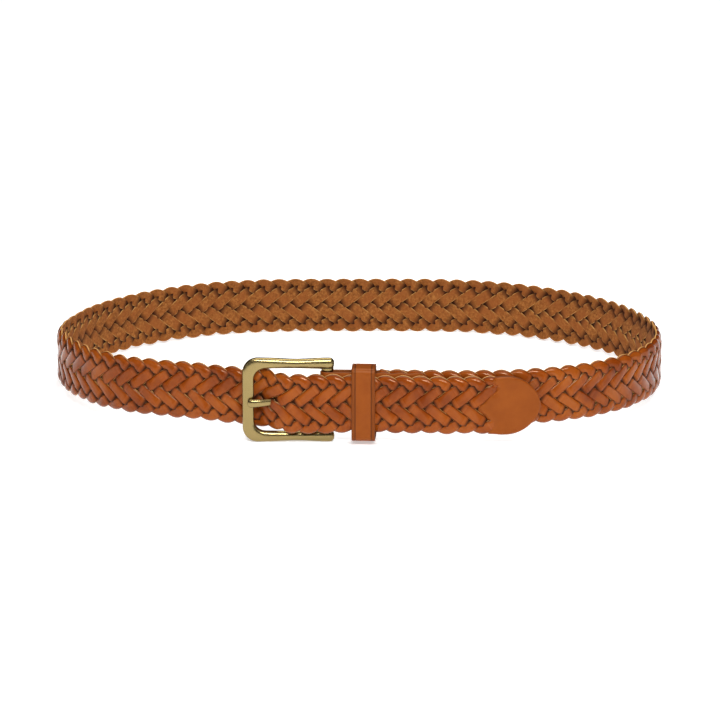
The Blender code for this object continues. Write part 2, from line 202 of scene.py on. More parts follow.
def ring_points(places, outward):
    places = np.mod(places, RING_LENGTH)
    heading = ring_heading(places / RING_LENGTH * math.tau)
    x = np.interp(places, RING_MARKS, RING_X) + outward * np.sin(heading)
    y = np.interp(places, RING_MARKS, RING_Y) - RING_HALF_DEPTH - outward * np.cos(heading)
    return np.stack([x, y], axis=-1)


HINGE_X, HINGE_Y = ring_points(HINGE_PLACE, -HINGE_SINK)
BAR_PLACE = RING_LENGTH + HINGE_PLACE - FRAME_REACH
STRAP_Y_AT_BAR = HINGE_Y + FRAME_BAR_DEPTH / 2 + CLEARANCE + STRAP_THICKNESS / 2
BAR_SINK = STRAP_Y_AT_BAR - ring_points(BAR_PLACE, 0.0)[1]
RISE_START = BAR_PLACE + 0.5 * FRAME_BAR_WIDTH
RISE_END = BAR_PLACE + 0.56 * FRAME_REACH
TIP_PLACE = RING_LENGTH + HINGE_PLACE + TAIL_LENGTH

ROWS_OFF_RING = (
    [(HINGE_PLACE, -HINGE_SINK)]
    + [(share * RING_LENGTH, bow * STRAP_WIDTH) for share, bow in BOWS]
    + [(BAR_PLACE - 0.5 * FRAME_REACH, -0.95 * BAR_SINK), (BAR_PLACE, -BAR_SINK)]
)
PLACES = np.arange(HINGE_PLACE - 10 * LINE_STEP, TIP_PLACE + 10 * LINE_STEP, LINE_STEP)
INNER = smooth_through(ROWS_OFF_RING, PLACES)
OUTER = smooth_through(ROWS_OFF_RING, PLACES - RING_LENGTH) + LAYER_STEP
LINE = ring_points(PLACES, INNER + (OUTER - INNER) * eased(PLACES, RISE_START, RISE_END))
LINE_ALONG = np.concatenate([[0], np.cumsum(np.hypot(*np.diff(LINE, axis=0).T))])
LINE_ALONG = LINE_ALONG - np.interp(HINGE_PLACE, PLACES, LINE_ALONG)
LINE_HEADING = np.unwrap(np.arctan2(np.gradient(LINE[:, 1]), np.gradient(LINE[:, 0])))
LINE_DROP = TAIL_DROP * (
    0.5 * eased(PLACES, BAR_PLACE - FRAME_REACH, BAR_PLACE) + 0.5 * eased(PLACES, RISE_START, RISE_END)
)
TIP_ALONG = float(np.interp(TIP_PLACE, PLACES, LINE_ALONG))
TAB_ALONG = TIP_ALONG - TAB_LENGTH
BAR_ALONG = float(np.interp(BAR_PLACE, PLACES, LINE_ALONG))


def strap_half_width(along):
    return (STRAP_WIDTH - STRAP_NARROWING * (1 - along / TIP_ALONG)) / 2


# From the belt's own frame to the floor: it leans so that the frame's lower arm and the back's edge both rest
LEAN = -math.atan2(
    FRAME_HEIGHT / 2 + FRAME_DROP - strap_half_width(TIP_ALONG / 2),
    RING_HALF_DEPTH - HINGE_Y,
)


def leaned(points):
    x, y, z = np.moveaxis(np.asarray(points, float), -1, 0)
    return np.stack([
        x,
        y * math.cos(LEAN) - z * math.sin(LEAN),
        y * math.sin(LEAN) + z * math.cos(LEAN),
    ], axis=-1)


FRAME_LOW, FRAME_HIGH = (np.array(corner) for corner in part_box("buckle_frame"))
FRAME_MIDDLE = (HINGE_X - (FRAME_REACH - 0.25 * FRAME_BAR_WIDTH) / 2, HINGE_Y, -FRAME_DROP)
SHIFT = (FRAME_LOW + FRAME_HIGH) / 2 - leaned(FRAME_MIDDLE)


def placed(points):
    return leaned(points) + SHIFT


def strap_points(along, up, out):
    along, up, out = np.broadcast_arrays(along, up, out)
    x = np.interp(along, LINE_ALONG, LINE[:, 0])
    y = np.interp(along, LINE_ALONG, LINE[:, 1])
    heading = np.interp(along, LINE_ALONG, LINE_HEADING)
    drop = np.interp(along, LINE_ALONG, LINE_DROP)
    return placed(np.stack([x + out * np.sin(heading), y - out * np.cos(heading), up - drop], axis=-1))


def frame_points(reach, up, forward):
    """Points this far from the hinge bar towards the outer bar, above its middle and in front of it."""
    reach, up, forward = np.broadcast_arrays(reach, up, forward)
    return placed(np.stack([HINGE_X - reach, HINGE_Y - forward, up - FRAME_DROP], axis=-1))


# Meshes


def piece(name, points, faces, finish, stands_for, marks=None):
    """A smooth-shaded mesh that rides on the belt, with a number on each point for its material to read."""
    mesh = bpy.data.meshes.new(name)
    mesh.from_pydata([tuple(point) for point in points], [], faces)
    for mark, values in (marks or {}).items():
        layer = mesh.attributes.new(mark, "FLOAT", "POINT")
        layer.data.foreach_set("value", np.asarray(values, np.float32).ravel())
    shape = bmesh.new()
    shape.from_mesh(mesh)
    bmesh.ops.recalc_face_normals(shape, faces=shape.faces)
    shape.to_mesh(mesh)
    shape.free()
    mesh.materials.append(finish)
    mesh.shade_smooth()
    made = bpy.data.objects.new(name, mesh)
    bpy.context.scene.collection.objects.link(made)
    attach(made, "root")
    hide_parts(stands_for)
    return made


def tube_faces(rings, count, closed_ends=True, looped=False):
    """Quads between rings of this many points, and a fan over each end."""
    faces = []
    turns = rings if looped else rings - 1
    for ring in range(turns):
        after = (ring + 1) % rings
        for k in range(count):
            other = (k + 1) % count
            faces.append((ring * count + k, ring * count + other, after * count + other, after * count + k))
    if closed_ends and not looped:
        faces.append(tuple(range(count)))
        faces.append(tuple((rings - 1) * count + k for k in reversed(range(count))))
    return faces


# One lace's way through the braid. Its phase runs from -9 to 9: below 0 it climbs, above 0 it comes down

TRANSITIONS = (
    (-9.0, 0.95),
    (-7.5, 0.58),
    (-4.5, 0.58),
    (-1.5, 0.58),
    (0.0, 0.95),
    (1.5, 0.58),
    (4.5, 0.58),
    (7.5, 0.58),
    (9.0, 0.95),
)
LEANS = ((0.0, 0.0), (1.5, -1.0), (4.5, 1.0), (7.5, -1.0), (9.0, 0.0))


def lace_level(phase):
    """1 where the lace runs in front, -1 where it runs behind, and smooth in between."""
    level = -np.ones_like(phase)
    for k, (middle, reach) in enumerate(TRANSITIONS):
        level = level + (2 if k % 2 == 0 else -2) * eased(phase, middle - reach, middle + reach)
    return level


def lace_cover(phase):
    """1 in the middle of each dive under another lace or out from under it, and 0 at 1.5 crossings from it."""
    run = np.abs(phase)
    return 1 - np.minimum(np.minimum(np.abs(run - 1.5), np.abs(run - 4.5)), np.abs(run - 7.5)) / 1.5


def lace_crossing(phase):
    run = np.abs(phase)
    rest = CROSSINGS - run
    upper = np.sqrt(run * run + EDGE_TURN ** 2) - run
    lower = np.sqrt(rest * rest + EDGE_TURN ** 2) - rest
    inside = eased(run, 0.2, 1.5) * eased(rest, 0.2, 1.5)
    bend = LACE_BEND * np.sin(math.tau * (run - 1.5) / 3) * inside
    return run + upper - lower - bend


def wander(t, seed):
    """A smooth unevenness between about -1 and 1, the same on every run."""
    return sum(
        weight * np.sin(rate * t + seed * turn)
        for weight, rate, turn in ((0.5, 0.83, 2.39), (0.35, 1.71, 4.11), (0.25, 2.93, 1.27))
    )


def lace_lean(phase):
    return np.sign(phase) * smooth_through(LEANS, np.abs(phase))


# Across the lace, through it, and which side it is: 1 grain, 0 cut edge, -1 flesh
SECTION = (
    (0.00, 1.00, 1.0),
    (0.30, 0.97, 1.0),
    (0.55, 0.87, 1.0),
    (0.75, 0.68, 1.0),
    (0.87, 0.46, 1.0),
    (0.95, 0.14, 0.8),
    (1.00, -0.12, 0.0),
    (1.02, -0.55, 0.0),
    (0.93, -0.84, -0.7),
    (0.78, -1.00, -1.0),
    (0.00, -1.00, -1.0),
    (-0.78, -1.00, -1.0),
    (-0.93, -0.84, -0.7),
    (-1.02, -0.55, 0.0),
    (-1.00, -0.12, 0.0),
    (-0.95, 0.14, 0.8),
    (-0.87, 0.46, 1.0),
    (-0.75, 0.68, 1.0),
    (-0.55, 0.87, 1.0),
    (-0.30, 0.97, 1.0),
)


# The tab's roots, where laces are cut from it: share of its half width, how far each place reaches back
TAB_ROOTS = (
    (-1.00, 0.0022),
    (-0.92, 0.0018),
    (-0.82, 0.0014),
    (-0.66, 0.0013),
    (-0.52, 0.0019),
    (-0.38, 0.0034),
    (-0.24, 0.0057),
    (-0.12, 0.0080),
    (0.03, 0.0074),
    (0.09, 0.0049),
    (0.17, 0.0042),
    (0.31, 0.0022),
    (0.42, 0.0003),
    (0.50, -0.0016),
    (0.62, -0.0026),
    (0.72, -0.0013),
    (0.85, -0.0003),
    (1.00, -0.0014),
)


def tab_lips(share):
    """1 where laces lie over the tab's straight end, and 0 where its roots run over them."""
    return np.exp(-((share - 0.56) / 0.22) ** 4) + np.exp(-((share + 0.72) / 0.24) ** 4)


# Where the prong goes through the braid, and how it spreads the laces
HOLE_REACH = 0.0385  # from the hinge bar, the middle of the spread laces
HOLE_HALF_LENGTH = 0.0058
SPREAD = 0.0018  # how far the laces are pushed up or down there
HOLE_EASE = 0.0030  # how softly the spread ends along the strap
SPREAD_NEAR = 0.0027  # from the prong's axis, where the push is nearly full
SPREAD_FAR = 0.0120  # from the prong's axis, where the push fades out
SUNK_REACH = 0.0300  # from the hinge bar, the middle of the laces over the prong's sunk end
SUNK_HALF_LENGTH = 0.0035
SUNK_HALF_HEIGHT = 0.0045
SUNK_FORWARD = 0.0013  # how far those laces come forward
WIDENS = (0.0270, 0.0200)  # from the hinge bar, where the braid gets wider past the hole
NARROWS = (-0.0040, -0.0140)  # from the hinge bar, where it gets narrower again before the keeper


def spread_share(along):
    """1 from the prong's hole to just before the keeper, where the spread braid stays wider."""
    reach = BAR_ALONG + FRAME_REACH - along
    return eased(-reach, -WIDENS[0], -WIDENS[1]) * eased(reach, NARROWS[1], NARROWS[0])


def round_the_prong(along, up, out):
    """Moves laces apart above and below the prong, and forward where they lie over its sunk end."""
    reach = BAR_ALONG + FRAME_REACH - along
    above = up - np.interp(along, LINE_ALONG, LINE_DROP) + FRAME_DROP - HOLE_UP
    past_hole = np.clip(np.abs(reach - HOLE_REACH) - HOLE_HALF_LENGTH, 0, None)
    beside = np.exp(-(past_hole / HOLE_EASE) ** 2)
    push = SPREAD * np.tanh(above / SPREAD_NEAR) * np.exp(-(np.abs(above) / SPREAD_FAR) ** 1.5) * beside
    over = np.exp(-((reach - SUNK_REACH) / SUNK_HALF_LENGTH) ** 2 - (above / SUNK_HALF_HEIGHT) ** 2)
    forward = SUNK_FORWARD * over * np.clip(out / LACE_LEVEL, 0, 1)
    return up + push, out + forward


def lace(index, finish):
    steps = (TAB_ALONG + LACE_INTO_TAB - BRAID_START - LATTICE_SHIFT) / HALF_PITCH
    t = np.linspace(0, steps, int(steps * RINGS_A_STEP))
    wanders = [wander(t, 5 * index + k) for k in range(1, 6)]
    phase = np.mod(t + 2 * index + CROSSINGS, 2 * CROSSINGS) - CROSSINGS
    cover = lace_cover(phase)
    along = BRAID_START + LATTICE_SHIFT + t * HALF_PITCH + ALONG_WANDER * wanders[0]
    crossing = lace_crossing(phase) + CROSSING_WANDER * wanders[1]
    half = strap_half_width(along)
    up = half * (1 - 2 * (crossing + EDGE_SHARE) / (CROSSINGS + 2 * EDGE_SHARE))
    up = up * (1 + BRAID_WIDENING * spread_share(along)) - BRAID_SAG * spread_share(along)
    out = LACE_LEVEL * lace_level(phase) + OUT_WANDER * wanders[2]
    up, out = round_the_prong(along, up, out)
    share = np.clip(up / half, -1, 1)
    root = TAB_ALONG - smooth_through(TAB_ROOTS, share)
    out = out - ROOT_TUCK * (1 - tab_lips(share)) * eased(along - root, -0.0015, 0.0010)
    roll = LACE_ROLL * lace_lean(phase) + ROLL_WANDER * wanders[3]
    to_end = np.clip((steps - t) / LACE_END_LENGTH, 0, 1)
    leaf = LACE_LEAF - LACE_TUCK * eased(cover, 0.45, 1.0)
    end = LACE_END + (1 - LACE_END) * np.sqrt(1 - (1 - to_end) ** 2)
    width = (leaf + WIDTH_WANDER * wanders[4]) * end
    at_upper_edge = np.exp(-(np.abs(phase) / EDGE_CURL_RUN) ** 2)
    at_lower_edge = np.exp(-((CROSSINGS - np.abs(phase)) / EDGE_CURL_RUN) ** 2)
    run_along, run_up, run_out = (np.gradient(values)[:, None] for values in (along, up, out))
    flat = np.hypot(run_along, run_up)
    ahead_along, ahead_up, rise = run_along / flat, run_up / flat, run_out / flat
    across, through, sides = (np.array(column) for column in zip(*SECTION))
    wide = (across * LACE_WIDTH / 2)[None, :] * width[:, None]
    thick = (through * LACE_THICKNESS / 2)[None, :] + 0 * t[:, None]
    upper_curl = at_upper_edge[:, None] * np.clip(across, 0, None) ** 2
    lower_curl = at_lower_edge[:, None] * np.clip(-across, 0, None) ** 2
    points = strap_points(
        along[:, None] - ahead_up * wide - rise * ahead_along * thick,
        up[:, None] + ahead_along * wide - rise * ahead_up * thick,
        out[:, None] + roll[:, None] * wide + thick - EDGE_CURL * (upper_curl + lower_curl),
    )
    before_tab = 1 - eased(along, TAB_ALONG - 0.0015, TAB_ALONG + 0.0005)
    marks = {
        "side": np.tile(sides, len(t)),
        # Where the lace dives under another: the material paints shade there and makes it rougher
        "dive_shade": np.repeat(cover * before_tab, len(SECTION)),
        "across": np.tile(across, len(t)),
    }
    piece(
        f"lace_{index + 1}",
        points.reshape(-1, 3),
        tube_faces(len(t), len(SECTION)),
        finish,
        "braided_strap",
        marks,
    )


# Smooth leather and brass pieces


def superellipse(half_across, half_deep, count, squareness):
    """Points round a soft-cornered section, as (across, deep) rows."""
    angles = math.tau * (np.arange(count) + 0.5) / count
    cos, sin = np.cos(angles), np.sin(angles)
    return np.stack([
        half_across * np.sign(cos) * np.abs(cos) ** squareness,
        half_deep * np.sign(sin) * np.abs(sin) ** squareness,
    ], axis=-1)


CREASE_HALF_WIDTH = 0.00018
CREASE_DEPTH = 0.00016
CREASE_SHADE = 0.00045  # how far the darker leather reaches beside a pressed line
CREASE_BURNISH = 0.35  # how dark the leather is between a pressed line and the edge, as a share


def strip_section(half_across, half_deep, rim, creases=()):
    """A strip's section as (across, deep, side, crease) rows, with pressed lines this far in from each edge."""
    top = [(0.0, 0.0, 1.0, 0.0)]
    for place in creases:
        line = half_across - place
        top += [
            (line - CREASE_SHADE, 0.0, 1.0, 0.0),
            (line - CREASE_HALF_WIDTH, 0.0, 1.0, 0.8),
            (line, -CREASE_DEPTH, 1.0, 1.0),
            (line + CREASE_HALF_WIDTH, 0.0, 1.0, 0.8),
            (line + CREASE_SHADE, 0.0, 1.0, CREASE_BURNISH),
        ]
    burnish = CREASE_BURNISH if creases else 0.0
    top += [(half_across - rim, 0.0, 1.0, burnish), (half_across - 0.45 * rim, -0.15 * rim, 0.9, burnish)]
    rows = [(a, half_deep + d, side, crease) for a, d, side, crease in top]
    rows += [
        (half_across - 0.08 * rim, half_deep - 0.55 * rim, 0.2, 0.0),
        (half_across, half_deep - 1.1 * rim, 0.0, 0.0),
        (half_across, -half_deep + 1.1 * rim, 0.0, 0.0),
        (half_across - 0.3 * rim, -half_deep + 0.3 * rim, 0.1, 0.0),
        (half_across - rim, -half_deep, 0.5, 0.0),
        (0.0, -half_deep, 0.5, 0.0),
    ]
    mirrored = [(-a, d, side, crease) for a, d, side, crease in reversed(rows[1:-1])]
    return np.array(rows + mirrored)


KEEPER_RIM = 0.0006
KEEPER_LINE = 0.0022  # from the keeper's edge to its pressed line
KEEPER_CORNER = 0.0023


def keeper_loop(finish):
    section = strip_section(KEEPER_WIDTH / 2, LEAF_THICKNESS / 2, KEEPER_RIM, (KEEPER_LINE,))
    back = CHAPE_HALF_DEPTH + CLEARANCE
    front = LAYER_STEP + STRAP_THICKNESS / 2 + CLEARANCE
    half_up = (KEEPER_HEIGHT - LEAF_THICKNESS + KEEPER_RISE) / 2
    half_out = (front + back + LEAF_THICKNESS) / 2
    round_off = KEEPER_CORNER
    stops = []
    for quarter, (up, out) in enumerate(((1, 1), (-1, 1), (-1, -1), (1, -1))):
        for k in range(9):
            angle = math.pi / 2 * (k / 8) + math.pi / 2 * quarter
            normal = (math.cos(angle), math.sin(angle))
            stops.append((
                up * (half_up - round_off) + round_off * normal[0],
                out * (half_out - round_off) + round_off * normal[1],
                *normal,
            ))
        if quarter in (0, 2):
            face = 1 if quarter == 0 else -1
            for share in np.linspace(0, 1, 14)[1:-1]:
                level = (half_up - round_off) * (1 - 2 * share) * face
                stops.append((level, half_out * face, 0.0, float(face)))
    middle = (front - back) / 2
    along, up, out = [], [], []
    for stop_up, stop_out, normal_up, normal_out in stops:
        along.append(KEEPER_FROM_HINGE + section[:, 0])
        up.append(stop_up + section[:, 1] * normal_up - KEEPER_DROP + KEEPER_RISE / 2)
        out.append(stop_out + section[:, 1] * normal_out + middle)
    points = strap_points(np.array(along), np.array(up), np.array(out))
    marks = {"side": np.tile(section[:, 2], len(stops)), "crease": np.tile(section[:, 3], len(stops))}
    faces = tube_faces(len(stops), len(section), looped=True)
    piece("keeper", points.reshape(-1, 3), faces, finish, "keeper_loop", marks)


TAB_STRAIGHT = 0.28  # the share of the tab before its sides turn in to the point

# Across the tab's edge, through it, and which side it is: 1 grain, 0 cut edge
TAB_EDGE = (
    (0.90, 0.985, 1.0),
    (0.95, 0.93, 1.0),
    (0.985, 0.78, 0.75),
    (1.0, 0.45, 0.1),
    (1.0, -0.45, 0.1),
    (0.97, -0.82, 0.3),
    (0.9, -1.0, 0.5),
)
# The last rings before the tab's point, in tenths of the tab from it
TAB_POINT = (0.72, 0.48, 0.28, 0.14, 0.05, 0.012)


def tab_half_width(share):
    """Half the tab's width, from 0 at its straight end to 1 at its point: straight, then two arcs to the point."""
    half = strap_half_width(TIP_ALONG)
    run = (1 - TAB_STRAIGHT) * TAB_LENGTH
    radius = (run * run + half * half) / (2 * half)
    across = np.clip((share - TAB_STRAIGHT) * TAB_LENGTH, 0, None)
    return half - radius + np.sqrt(np.clip(radius * radius - across * across, 0, None))


def tip_tab(finish):
    over = [(across, 1.0, 1.0) for across in np.linspace(0.0, 0.9, 20)[:-1]]
    under = [(across, -1.0, 0.5) for across in np.linspace(0.9, 0.0, 8)[1:]]
    rows = over + list(TAB_EDGE) + under
    mirrored = [(-across, deep, side) for across, deep, side in reversed(rows[1:-1])]
    across, deep, side = (np.array(column) for column in zip(*(rows + mirrored)))
    shares = np.concatenate([
        [0.0, 0.01, 0.02, 0.035],
        np.linspace(0.05, 0.9, 34),
        1 - 0.1 * np.array(TAB_POINT),
    ])
    start = TAB_ALONG - smooth_through(TAB_ROOTS, across)
    along = start[None, :] + shares[:, None] * (TIP_ALONG - start[None, :])
    real_share = np.clip((along - TAB_ALONG) / TAB_LENGTH, 0, 1)
    half_depth = 0.47 * STRAP_THICKNESS
    rim = np.clip(tab_half_width(real_share) / 0.004, 0.15, 1.0)
    sunk = 0.30 * tab_lips(across) * (1 - eased(along, TAB_ALONG + 0.0020, TAB_ALONG + 0.0050))
    thick = half_depth * (0.5 + 0.5 * eased(along - start[None, :], 0.0, 0.0014) - sunk) * rim ** 0.25
    narrowed = 0.97 + 0.03 * eased(along, TAB_ALONG, TAB_ALONG + 0.006)
    up = across[None, :] * tab_half_width(real_share) * narrowed
    points = strap_points(along, up, deep[None, :] * thick)
    marks = {"side": np.tile(side, len(shares)), "crease": np.zeros(points.shape[:2])}
    faces = tube_faces(len(shares), len(across))
    piece("tab", points.reshape(-1, 3), faces, finish, "tip_tab", marks)


def chape(finish):
    section = strip_section(CHAPE_HEIGHT / 2, LEAF_THICKNESS / 2, 0.0005)
    middle = FOLD_RADIUS + LEAF_THICKNESS / 2
    stations = CHAPE_LENGTH * np.linspace(1.0, 0.0, 57)
    route = [(along, 0.0, 1.0) for along in stations]
    route += [(0.0, math.cos(a), math.sin(a)) for a in math.pi / 2 * (1 + np.arange(1, 12) / 6)]
    route += [(along, 0.0, -1.0) for along in stations[::-1]]
    along, up, out = [], [], []
    for place, back, face in route:
        skived = 1 - 0.55 * eased(place, CHAPE_LENGTH - 0.009, CHAPE_LENGTH)
        squeeze = 0.0004 * eased(place, CHAPE_LENGTH - 0.016, CHAPE_LENGTH)
        wave = 0.00018 * math.sin(math.tau * place / BRAID_PITCH) * eased(place, 0.012, 0.02)
        radius = middle - squeeze + section[:, 1] * skived
        along.append(place + radius * back)
        up.append(section[:, 0] * (1 + wave / CHAPE_HEIGHT * 3) + 0.6 * wave)
        out.append(radius * face + wave * abs(face) * 0.6)
    points = strap_points(np.array(along), np.array(up), np.array(out))
    marks = {"side": np.tile(section[:, 2], len(route)), "crease": np.zeros(points.shape[:2])}
    made = piece(
        "chape_leaf", points.reshape(-1, 3), tube_faces(len(route), len(section)), finish,
        "chape", marks,
    )
    half_slot = PRONG_WIDTH / 2 + 2 * CLEARANCE
    reach = 1.5 * CHAPE_HALF_DEPTH
    corners = frame_points(
        np.array([-reach, reach] * 4),
        np.repeat([HOLE_UP - half_slot, HOLE_UP + half_slot], 4),
        np.array([-reach, -reach, reach, reach] * 2),
    )
    # These faces turn inwards, so the Boolean removes nothing: a known fault
    mesh = bpy.data.meshes.new("chape_slot")
    faces = [(0, 1, 3, 2), (4, 6, 7, 5), (0, 4, 5, 1), (2, 3, 7, 6), (0, 2, 6, 4), (1, 5, 7, 3)]
    mesh.from_pydata([tuple(corner) for corner in corners], [], faces)
    cutter = bpy.data.objects.new("chape_slot", mesh)
    bpy.context.scene.collection.objects.link(cutter)
    cutter.hide_render = True
    cutter.hide_viewport = True
    step = made.modifiers.new("slot", "BOOLEAN")
    step.operation = "DIFFERENCE"
    step.object = cutter
    step.solver = "EXACT"


# The frame's outlines: its outer corner is rounder than its inner one, and its arms thicken to their ends
OUTER_CORNER = 0.0090
INNER_CORNER = 0.0065
ARM_WAIST = 0.0007  # how far in the arms go between their ends
ARM_SWELL = 0.0004  # how much thicker they are at the hinge
HINGE_BOSS = 0.0036  # the radius where an arm takes the hinge bar


def frame_stations():
    """(outer point, inner point) pairs as (reach, up), from the upper arm's end to the middle of the outer bar."""
    top = FRAME_HEIGHT / 2
    tip = FRAME_REACH + FRAME_BAR_WIDTH / 2
    inner_tip, inner_top = tip - FRAME_BAR_WIDTH - BAR_THICKENING, top - FRAME_BAR_WIDTH - ARM_THICKENING
    rows = []
    for reach in np.linspace(-0.30 * FRAME_BAR_WIDTH, inner_tip - INNER_CORNER, 22)[:-1]:
        share = reach / FRAME_REACH
        waist = ARM_WAIST * math.sin(math.pi * min(max(share + 0.02, 0), 0.8) / 0.8) ** 2
        swell = ARM_SWELL * (1 - share) ** 2
        rows.append(((reach, top - waist), (reach, inner_top - swell + 0.3 * waist)))
    for angle in np.linspace(0, math.pi / 2, 18):
        sin, cos = math.sin(angle), math.cos(angle)
        outer = (tip - OUTER_CORNER + OUTER_CORNER * sin, top - OUTER_CORNER + OUTER_CORNER * cos)
        inner = (inner_tip - INNER_CORNER + INNER_CORNER * sin, inner_top - INNER_CORNER + INNER_CORNER * cos)
        rows.append((outer, inner))
    for up in np.linspace(inner_top - INNER_CORNER, 0.0, 8)[1:]:
        rows.append(((tip, up), (inner_tip, up)))
    return rows


def brass_rings(rows, half_deep, count):
    """Rings round a bar that runs between these outer and inner points, as (reach, up, forward) arrays."""
    rings = []
    for outer, inner, depth_share in rows:
        to_bar = float(eased(outer[0], 0.72 * FRAME_REACH, FRAME_REACH))
        section = superellipse(1.0, 1.0, count, 0.95 - 0.35 * to_bar)
        outer, inner = np.array(outer), np.array(inner)
        centre, arm = (outer + inner) / 2, (outer - inner) / 2
        place = centre + section[:, :1] * arm
        rings.append(np.column_stack([place, section[:, 1] * half_deep * depth_share]))
    return np.array(rings)


def buckle_frame(finish):
    upper = [(outer, inner, 1.0) for outer, inner in frame_stations()]
    (first_outer, first_inner, _), caps = upper[0], []
    middle = (np.array(first_outer) + np.array(first_inner)) / 2
    arm = (np.array(first_outer) - np.array(first_inner)) / 2
    for angle in np.radians([88, 76, 62, 46, 30, 14]):
        share = math.cos(angle) ** 0.75
        centre = middle - np.array([0.45 * FRAME_BAR_WIDTH * math.sin(angle), 0.0])
        caps.append((centre + arm * share, centre - arm * share, share))
    upper = caps + upper
    lower = [((o[0], -o[1]), (i[0], -i[1]), share) for o, i, share in reversed(upper[:-1])]
    count = 56
    rings = brass_rings(upper + lower, FRAME_BAR_DEPTH / 2, count)
    shells = [(frame_points(rings[..., 0], rings[..., 1], rings[..., 2]), len(rings), count)]
    inner_up = FRAME_HEIGHT / 2 - FRAME_BAR_WIDTH
    turn = math.tau * np.arange(count) / count
    ends = [
        (inner_up + 0.25 * FRAME_BAR_WIDTH, HINGE_BOSS),
        (inner_up - 0.0006, HINGE_BOSS),
        (inner_up - 0.0022, 0.93 * HINGE_BOSS),
        (inner_up - 0.0030, 0.85 * HINGE_BOSS),
        (inner_up - 0.0033, HINGE_RADIUS),
    ]
    profile = ends + [(-up, radius) for up, radius in reversed(ends)]
    ups = np.array([up for up, _ in profile])
    radii = np.array([radius for _, radius in profile])
    shells.append((
        frame_points(
            -0.1 * FRAME_BAR_WIDTH + radii[:, None] * np.cos(turn),
            ups[:, None] + 0 * turn,
            0.55 * radii[:, None] * np.sin(turn),
        ),
        len(profile),
        count,
    ))
    points, faces = [], []
    for shell, length, around in shells:
        start = sum(len(part) for part in points)
        points.append(shell.reshape(-1, 3))
        faces += [tuple(start + k for k in face) for face in tube_faces(length, around)]
    piece("frame", np.concatenate(points), faces, finish, "buckle_frame")


def buckle_prong(finish):
    count = 24
    reaches = np.concatenate([
        [1.001, 0.9995, 0.996, 0.990, 0.982, 0.970, 0.955, 0.935],
        np.linspace(0.91, 0.06, 44),
    ])
    shares = np.interp(
        -reaches,
        [-1.001, -0.9995, -0.996, -0.990, -0.982, -0.970, -0.955, -0.86, -0.78, -0.06],
        [0.12, 0.38, 0.66, 0.88, 1.04, 1.14, 1.18, 1.12, 1.0, 1.0],
    )
    forward = PRONG_STANDOFF * smooth_through(sorted(PRONG_ROUTE), reaches)
    section = superellipse(1.0, 1.0, count, 0.8)
    points = frame_points(
        FRAME_REACH * reaches[:, None] + 0 * section[:, 0],
        HOLE_UP + PRONG_WIDTH / 2 * shares[:, None] * section[:, 0],
        forward[:, None] + PRONG_DEPTH / 2 * shares[:, None] ** 0.8 * section[:, 1],
    )
    faces = tube_faces(len(reaches), count)
    around, eye_count = 32, 16
    ring = superellipse(0.5 * PRONG_WIDTH, (EYE_RADIUS - HINGE_RADIUS - CLEARANCE) / 2, eye_count, 0.6)
    radius = (EYE_RADIUS + HINGE_RADIUS + CLEARANCE) / 2 + ring[:, 1]
    turn = math.tau * np.arange(around)[:, None] / around
    eye = frame_points(radius * np.cos(turn), HOLE_UP + ring[:, 0] + 0 * turn, radius * np.sin(turn))
    start = points.shape[0] * count
    faces += [tuple(start + k for k in face) for face in tube_faces(around, eye_count, looped=True)]
    joined = np.concatenate([points.reshape(-1, 3), eye.reshape(-1, 3)])
    piece("prong", joined, faces, finish, "buckle_prong")


# Materials


def new_material(name):
    made = bpy.data.materials.new(name)
    made.use_nodes = True
    return made, made.node_tree, made.node_tree.nodes["Principled BSDF"]


def add_node(tree, kind, **settings):
    node = tree.nodes.new(kind)
    for name, value in settings.items():
        setattr(node, name, value)
    return node


def noise(tree, scale, detail=4.0, roughness=0.55):
    where = add_node(tree, "ShaderNodeTexCoord")
    made = add_node(tree, "ShaderNodeTexNoise")
    tree.links.new(where.outputs["Object"], made.inputs["Vector"])
    made.inputs["Scale"].default_value = scale
    made.inputs["Detail"].default_value = detail
    made.inputs["Roughness"].default_value = roughness
    return made.outputs["Fac"]


def ramp(tree, value, stops):
    made = add_node(tree, "ShaderNodeValToRGB")
    while len(made.color_ramp.elements) < len(stops):
        made.color_ramp.elements.new(0.5)
    for element, (place, colour) in zip(made.color_ramp.elements, stops):
        element.position = place
        element.color = (*colour, 1.0)
    tree.links.new(value, made.inputs["Fac"])
    return made.outputs["Color"]


def mixed(tree, share, one, other):
    """A mix of two colours. The node's sockets share names, so they are taken by number."""
    made = add_node(tree, "ShaderNodeMix", data_type="RGBA")
    for number, value in ((0, share), (6, one), (7, other)):
        socket = made.inputs[number]
        if isinstance(value, bpy.types.NodeSocket):
            tree.links.new(value, socket)
        else:
            socket.default_value = (*value, 1.0) if isinstance(value, tuple) else value
    return made.outputs[2]


def ranged(tree, value, low, high, to_low, to_high):
    made = add_node(tree, "ShaderNodeMapRange")
    tree.links.new(value, made.inputs["Value"])
    for socket, number in zip(made.inputs[1:5], (low, high, to_low, to_high)):
        socket.default_value = number
    return made.outputs["Result"]


def bumped(tree, surface, height, strength, distance):
    made = add_node(tree, "ShaderNodeBump")
    made.inputs["Strength"].default_value = strength
    made.inputs["Distance"].default_value = distance
    tree.links.new(height, made.inputs["Height"])
    tree.links.new(made.outputs["Normal"], surface.inputs["Normal"])


def attribute(tree, name):
    return add_node(tree, "ShaderNodeAttribute", attribute_name=name).outputs["Fac"]


